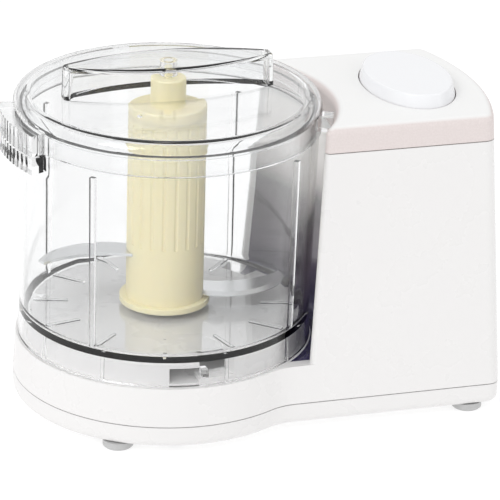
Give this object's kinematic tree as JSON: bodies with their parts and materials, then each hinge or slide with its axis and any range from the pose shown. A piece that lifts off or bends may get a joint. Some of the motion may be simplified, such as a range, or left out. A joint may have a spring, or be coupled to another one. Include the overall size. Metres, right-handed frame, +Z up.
{
  "type": "food processor",
  "caption": "Mini food processor with a clear lift-off bowl and lid, S-blade on a cream hub, and a white tower base with a pulse button.",
  "frame": {"origin": "centre of the bounding box in plan, on the surface that the feet stand on", "axes": "+X from the bowl towards the motor tower, +Y to the back, +Z up"},
  "size_m": [0.201, 0.12, 0.1407],
  "materials": {
    "white_gloss": "gloss moulded ABS",
    "white_satin": "satin moulded ABS",
    "button_white": "gloss moulded ABS, faintly blue",
    "recess_grey": "gloss smoked lining",
    "clear_plastic": "clear polished styrene-acrylonitrile",
    "cream_plastic": "translucent cream polypropylene",
    "blade_steel": "ground stainless steel",
    "foot_rubber": "grey moulded rubber",
    "black_rubber": "moulded rubber",
    "zinc_steel": "zinc-plated steel",
    "cast_zinc": "die cast",
    "shaft_steel": "ground steel",
    "lamination": "varnished steel sheet",
    "copper_wire": "enamelled copper",
    "sinter_bronze": "sintered bronze",
    "black_plastic": "glass-filled nylon",
    "carbon": "pressed carbon",
    "grey_plastic": "moulded nylon",
    "switch_red": "moulded acetal"
  },
  "bodies": {
    "base": {"bottom_cover": "white_gloss", "bowl_seat": "white_gloss", "brush_holder_back": "black_plastic", "brush_holder_front": "black_plastic", "carbon_brush_back": "carbon", "carbon_brush_front": "carbon", "cord_inlet": "black_rubber", "cover_screws": "zinc_steel", "drive_belt": "black_rubber", "field_coils": "copper_wire", "foot_back_left": "foot_rubber", "foot_back_right": "foot_rubber", "foot_front_left": "foot_rubber", "foot_front_right": "foot_rubber", "housing": "white_gloss", "interlock_switch": "black_plastic", "motor_bush_lower": "sinter_bronze", "motor_bush_upper": "sinter_bronze", "motor_can": "zinc_steel", "motor_lower_bell": "cast_zinc", "motor_plate": "zinc_steel", "motor_plate_screws": "zinc_steel", "motor_screws": "zinc_steel", "motor_upper_bell": "cast_zinc", "pulse_switch": "black_plastic", "recess_panel": "recess_grey", "spindle_bush_lower": "sinter_bronze", "spindle_bush_upper": "sinter_bronze", "spindle_seal": "black_rubber", "stator_core": "lamination", "suppression_capacitor": "grey_plastic", "switch_bracket": "grey_plastic", "terminal_block": "black_plastic", "top_cover": "white_satin"},
    "bowl": {"bowl": "clear_plastic"},
    "lid": {"lid": "clear_plastic"},
    "blade": {"blade_hub": "cream_plastic", "hub_cap": "cream_plastic", "drive_socket": "grey_plastic", "blade_lower": "blade_steel", "blade_upper": "blade_steel"},
    "drive": {"drive_spindle": "shaft_steel", "drive_pulley": "black_plastic", "thrust_washer": "shaft_steel"},
    "rotor": {"motor_shaft": "shaft_steel", "armature_core": "lamination", "armature_windings": "copper_wire", "commutator": "copper_wire", "cooling_fan": "black_plastic", "motor_pulley": "black_plastic"},
    "button": {"button": "button_white", "button_spring": "zinc_steel"},
    "plunger": {"switch_plunger": "switch_red"},
    "interlock": {"interlock_pin": "switch_red"}
  },
  "joints": [
    {"name": "bowl_lift", "type": "slide", "parent": "base", "child": "bowl", "axis": [0, 0, 1], "range_m": [0, 0.12]},
    {"name": "lid_lift", "type": "slide", "parent": "bowl", "child": "lid", "axis": [0, 0, 1], "range_m": [0, 0.06]},
    {"name": "blade_spin", "type": "hinge", "parent": "bowl", "child": "blade", "pos_m": [-0.0345, 0, 0.08], "axis": [0, 0, 1], "continuous": true},
    {"name": "drive_spin", "type": "hinge", "parent": "base", "child": "drive", "pos_m": [-0.0345, 0, 0.04], "axis": [0, 0, 1], "continuous": true},
    {"name": "motor_spin", "type": "hinge", "parent": "base", "child": "rotor", "pos_m": [0.0625, 0, 0.05], "axis": [0, 0, 1], "continuous": true},
    {"name": "button_press", "type": "slide", "parent": "base", "child": "button", "axis": [0, 0, -1], "range_m": [0, 0.003], "stiffness_N_per_m": 400, "springref_m": -0.0015, "deforming": ["button_spring"]},
    {"name": "plunger_press", "type": "slide", "parent": "base", "child": "plunger", "axis": [0, 0, -1], "range_m": [0, 0.003]},
    {"name": "interlock_push", "type": "slide", "parent": "base", "child": "interlock", "axis": [0.9336, -0.3584, 0], "range_m": [0, 0.0025], "stiffness_N_per_m": 100, "springref_m": -0.001}
  ],
  "couplings": [
    {"joint": "blade_spin", "follows": "drive_spin", "ratio": 1},
    {"joint": "motor_spin", "follows": "drive_spin", "ratio": 4.8},
    {"joint": "plunger_press", "follows": "button_press", "ratio": 1}
  ]
}
